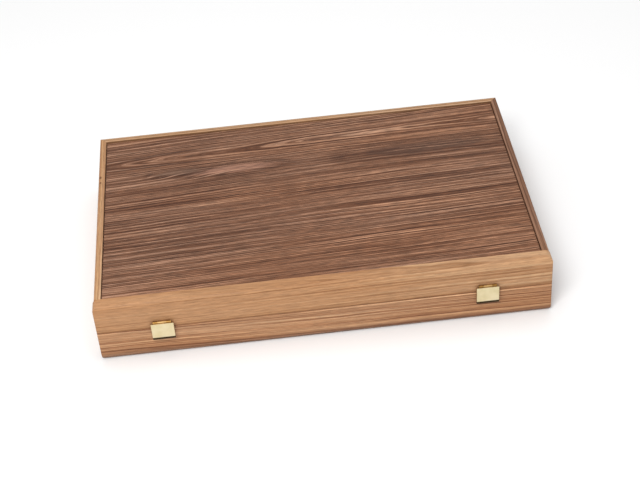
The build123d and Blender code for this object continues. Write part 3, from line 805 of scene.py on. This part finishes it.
# The faces in the order of their numbers: the way that each looks out, and the way of its rows
FACES = [((0, 0, 1), (1, 0, 0)), ((1, 0, 0), (0, 1, 0)), ((0, 1, 0), (0, 0, 1)),
         ((0, -1, 0), (1, 0, 0)), ((-1, 0, 0), (0, 0, 1)), ((0, 0, -1), (0, 1, 0))]


def resin(name, light, deep):
    """Polished cast resin, faintly clouded."""
    material, tree, shader = new_material(name)
    place = add(tree, "ShaderNodeTexCoord").outputs["Object"]
    cloud = waves(tree, place, (160.0, 160.0, 160.0), detail=3.0, roughness=0.6)
    tone = mix_colours(tree, "MIX", between(tree, cloud, *RESIN_CLOUD), light, deep)
    tree.links.new(tone, shader.inputs["Base Color"])
    roughness = between(tree, cloud, *NOISE_RANGE, *RESIN_ROUGHNESS)
    tree.links.new(roughness, shader.inputs["Roughness"])
    shader.inputs["Coat Weight"].default_value = RESIN_COAT
    return material


def rounded_cube(node, name, material):
    """The cube of a node of the frame, with soft round edges."""
    low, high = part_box(node)
    middle = (low + high) / 2
    size = high.x - low.x

    def build(shape):
        bmesh.ops.create_cube(shape, size=size, matrix=Matrix.Translation(middle))
        bmesh.ops.bevel(shape, geom=list(shape.edges), offset=EDGE_RADIUS, segments=5, profile=0.5,
                        affect="EDGES")

    cube = solid_from(build, name, material)
    soften(cube.data, degrees=40)
    return cube, middle, size


def pip_shape(shape):
    """Filled pip: a shallow lens about Z, a hair proud of the face."""
    turned(shape, [(0, -0.0004), (0.0009, -0.0003), (0.0012, 0.0), (0.0010, 0.00004), (0, 0.00007)],
           PIP_SIDES)


def pip_tree():
    """Geometry tree: a pip on each point, facing the way that the point says."""
    tree = bpy.data.node_groups.new("set_pips", "GeometryNodeTree")
    sockets = tree.interface
    sockets.new_socket("Geometry", in_out="INPUT", socket_type="NodeSocketGeometry")
    sockets.new_socket("Pip", in_out="INPUT", socket_type="NodeSocketObject")
    sockets.new_socket("Material", in_out="INPUT", socket_type="NodeSocketMaterial")
    sockets.new_socket("Geometry", in_out="OUTPUT", socket_type="NodeSocketGeometry")
    given = tree.nodes.new("NodeGroupInput").outputs
    facing = add(tree, "GeometryNodeInputNamedAttribute", {"Name": "facing"}, data_type="FLOAT_VECTOR")
    turn = add(tree, "FunctionNodeAlignRotationToVector", {"Vector": facing.outputs[0]}, axis="Z")
    pip = add(tree, "GeometryNodeObjectInfo", {"Object": given["Pip"]})
    pips = add(tree, "GeometryNodeInstanceOnPoints", {"Points": given["Geometry"],
                                                      "Instance": pip.outputs["Geometry"],
                                                      "Rotation": turn.outputs[0]})
    real = add(tree, "GeometryNodeRealizeInstances", {0: pips.outputs[0]})
    done = add(tree, "GeometryNodeSetMaterial", {"Geometry": real.outputs[0],
                                                 "Material": given["Material"]})
    result = tree.nodes.new("NodeGroupOutput")
    tree.links.new(done.outputs[0], result.inputs[0])
    return tree


ivory_resin = resin("ivory_resin", colour(240, 232, 210), colour(226, 214, 186))
brown_resin = resin("brown_resin", colour(84, 46, 28), colour(58, 32, 20))
set_pips = pip_tree()
one_pip = solid_from(pip_shape, "one_pip", ivory_resin)
for tone_name, body_resin, pip_resin in (("light", ivory_resin, brown_resin),
                                         ("dark", brown_resin, ivory_resin)):
    for place_name, letter in (("front", "a"), ("back", "b")):
        node = f"{tone_name}_{place_name}_die"
        die, middle, size = rounded_cube(node, f"{tone_name}_{place_name}_cube", body_resin)
        places, facings = [], []
        for number, (normal, first) in enumerate(FACES, start=1):
            normal, first = Vector(normal), Vector(first)
            second = normal.cross(first)
            for row_step, column_step in PIP_GRIDS[number]:
                offset = (first * row_step * size * PIP_SPACING
                          + second * column_step * size * PIP_SPACING)
                places.append(middle + normal * size / 2 + offset)
                facings.append(normal)
        mesh = bpy.data.meshes.new(f"{node}_pips")
        mesh.from_pydata(places, [], [])
        facing = mesh.attributes.new("facing", "FLOAT_VECTOR", "POINT")
        facing.data.foreach_set("vector", [part for normal in facings for part in normal])
        pips = bpy.data.objects.new(f"{node}_pips", mesh)
        bpy.context.scene.collection.objects.link(pips)
        apply_tree(pips, set_pips, {"Pip": one_pip, "Material": pip_resin})
        soften(pips.data, degrees=40)
        for piece in (die, pips):
            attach(piece, f"{tone_name}_die_{letter}")
        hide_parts(node)
bpy.data.objects.remove(one_pip)

cube, cube_middle, cube_size = rounded_cube("doubling_cube", "rounded_doubling_cube", ivory_resin)
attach(cube, "stake_cube")
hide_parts("doubling_cube")
for step, (normal, first) in enumerate(FACES, start=1):
    normal, first = Vector(normal), Vector(first)
    name = f"numeral_{2 ** step}"
    text = bpy.data.curves.new(name, "FONT")
    text.body = str(2 ** step)
    text.size = NUMERAL_HEIGHT
    text.align_x = "CENTER"
    text.align_y = "CENTER"
    text.extrude = NUMERAL_THICKNESS
    holder = bpy.data.objects.new(name, text)
    bpy.context.scene.collection.objects.link(holder)
    bpy.context.view_layer.update()
    mesh = bpy.data.meshes.new_from_object(holder.evaluated_get(bpy.context.evaluated_depsgraph_get()))
    bpy.data.objects.remove(holder)
    second = normal.cross(first)
    turn = Matrix((first, second, normal)).transposed().to_4x4()
    mesh.transform(Matrix.Translation(cube_middle + normal * (cube_size / 2 - NUMERAL_SINK)) @ turn)
    mesh.materials.clear()
    mesh.materials.append(brown_resin)
    numeral = bpy.data.objects.new(name, mesh)
    bpy.context.scene.collection.objects.link(numeral)
    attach(numeral, "stake_cube")

# Studio
# A pale floor under a plain white surround, with one soft lamp at the front left and a wider one
# overhead. The camera stands where the photograph's stood, as worked out from the case's edges.

FLOOR_REACH = 4.0
corners = [(across * FLOOR_REACH, deep * FLOOR_REACH, 0)
           for across, deep in ((-1, -1), (1, -1), (1, 1), (-1, 1))]
floor_mesh = bpy.data.meshes.new("floor")
floor_mesh.from_pydata(corners, [], [(0, 1, 2, 3)])
floor = bpy.data.objects.new("floor", floor_mesh)
bpy.context.scene.collection.objects.link(floor)
floor_material, _, floor_shader = new_material("pale_floor")
floor_shader.inputs["Base Color"].default_value = (0.93, 0.93, 0.93, 1.0)
floor_shader.inputs["Roughness"].default_value = 0.9
floor_mesh.materials.append(floor_material)
floor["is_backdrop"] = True

world = bpy.data.worlds.new("studio")
bpy.context.scene.world = world
world.use_nodes = True
surround = world.node_tree.nodes["Background"]
surround.inputs["Color"].default_value = (1.0, 1.0, 1.0, 1.0)
surround.inputs["Strength"].default_value = 0.62


def softbox(name, place, aim, width, power):
    """A square area light that looks at a point."""
    lamp = bpy.data.lights.new(name, "AREA")
    lamp.size = width
    lamp.energy = power
    holder = bpy.data.objects.new(name, lamp)
    holder.location = place
    holder.rotation_euler = (Vector(aim) - Vector(place)).to_track_quat("-Z", "Y").to_euler()
    bpy.context.scene.collection.objects.link(holder)


LAMP_AIM = (0, 0, 0.03)
softbox("key_light", (-0.5, -1.2, 1.7), LAMP_AIM, width=0.8, power=24.0)
softbox("top_light", (0.1, 0.5, 2.1), LAMP_AIM, width=1.4, power=10.0)

CAMERA_AZIMUTH = math.radians(-2.49)
CAMERA_ELEVATION = math.radians(38.97)
CAMERA_ROLL = math.radians(4.70)
CAMERA_DISTANCE = 1.6384
CAMERA_AIM = Vector((0.0060, -0.0017, 0.0))
CAMERA_LENS = 80.45
CAMERA_SENSOR = 36.0
back = Vector((math.sin(CAMERA_AZIMUTH) * math.cos(CAMERA_ELEVATION),
               -math.cos(CAMERA_AZIMUTH) * math.cos(CAMERA_ELEVATION), math.sin(CAMERA_ELEVATION)))
level = Vector((math.cos(CAMERA_AZIMUTH), math.sin(CAMERA_AZIMUTH), 0))
upright = back.cross(level)
right = level * math.cos(CAMERA_ROLL) - upright * math.sin(CAMERA_ROLL)
up = level * math.sin(CAMERA_ROLL) + upright * math.cos(CAMERA_ROLL)
camera = bpy.data.objects.new("camera", bpy.data.cameras.new("camera"))
camera.data.lens = CAMERA_LENS
camera.data.sensor_width = CAMERA_SENSOR
camera.matrix_world = (Matrix.Translation(CAMERA_AIM + back * CAMERA_DISTANCE)
                       @ Matrix((right, up, back)).transposed().to_4x4())
bpy.context.scene.collection.objects.link(camera)
bpy.context.scene.camera = camera
bpy.context.scene.view_settings.view_transform = "Standard"

low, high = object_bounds()
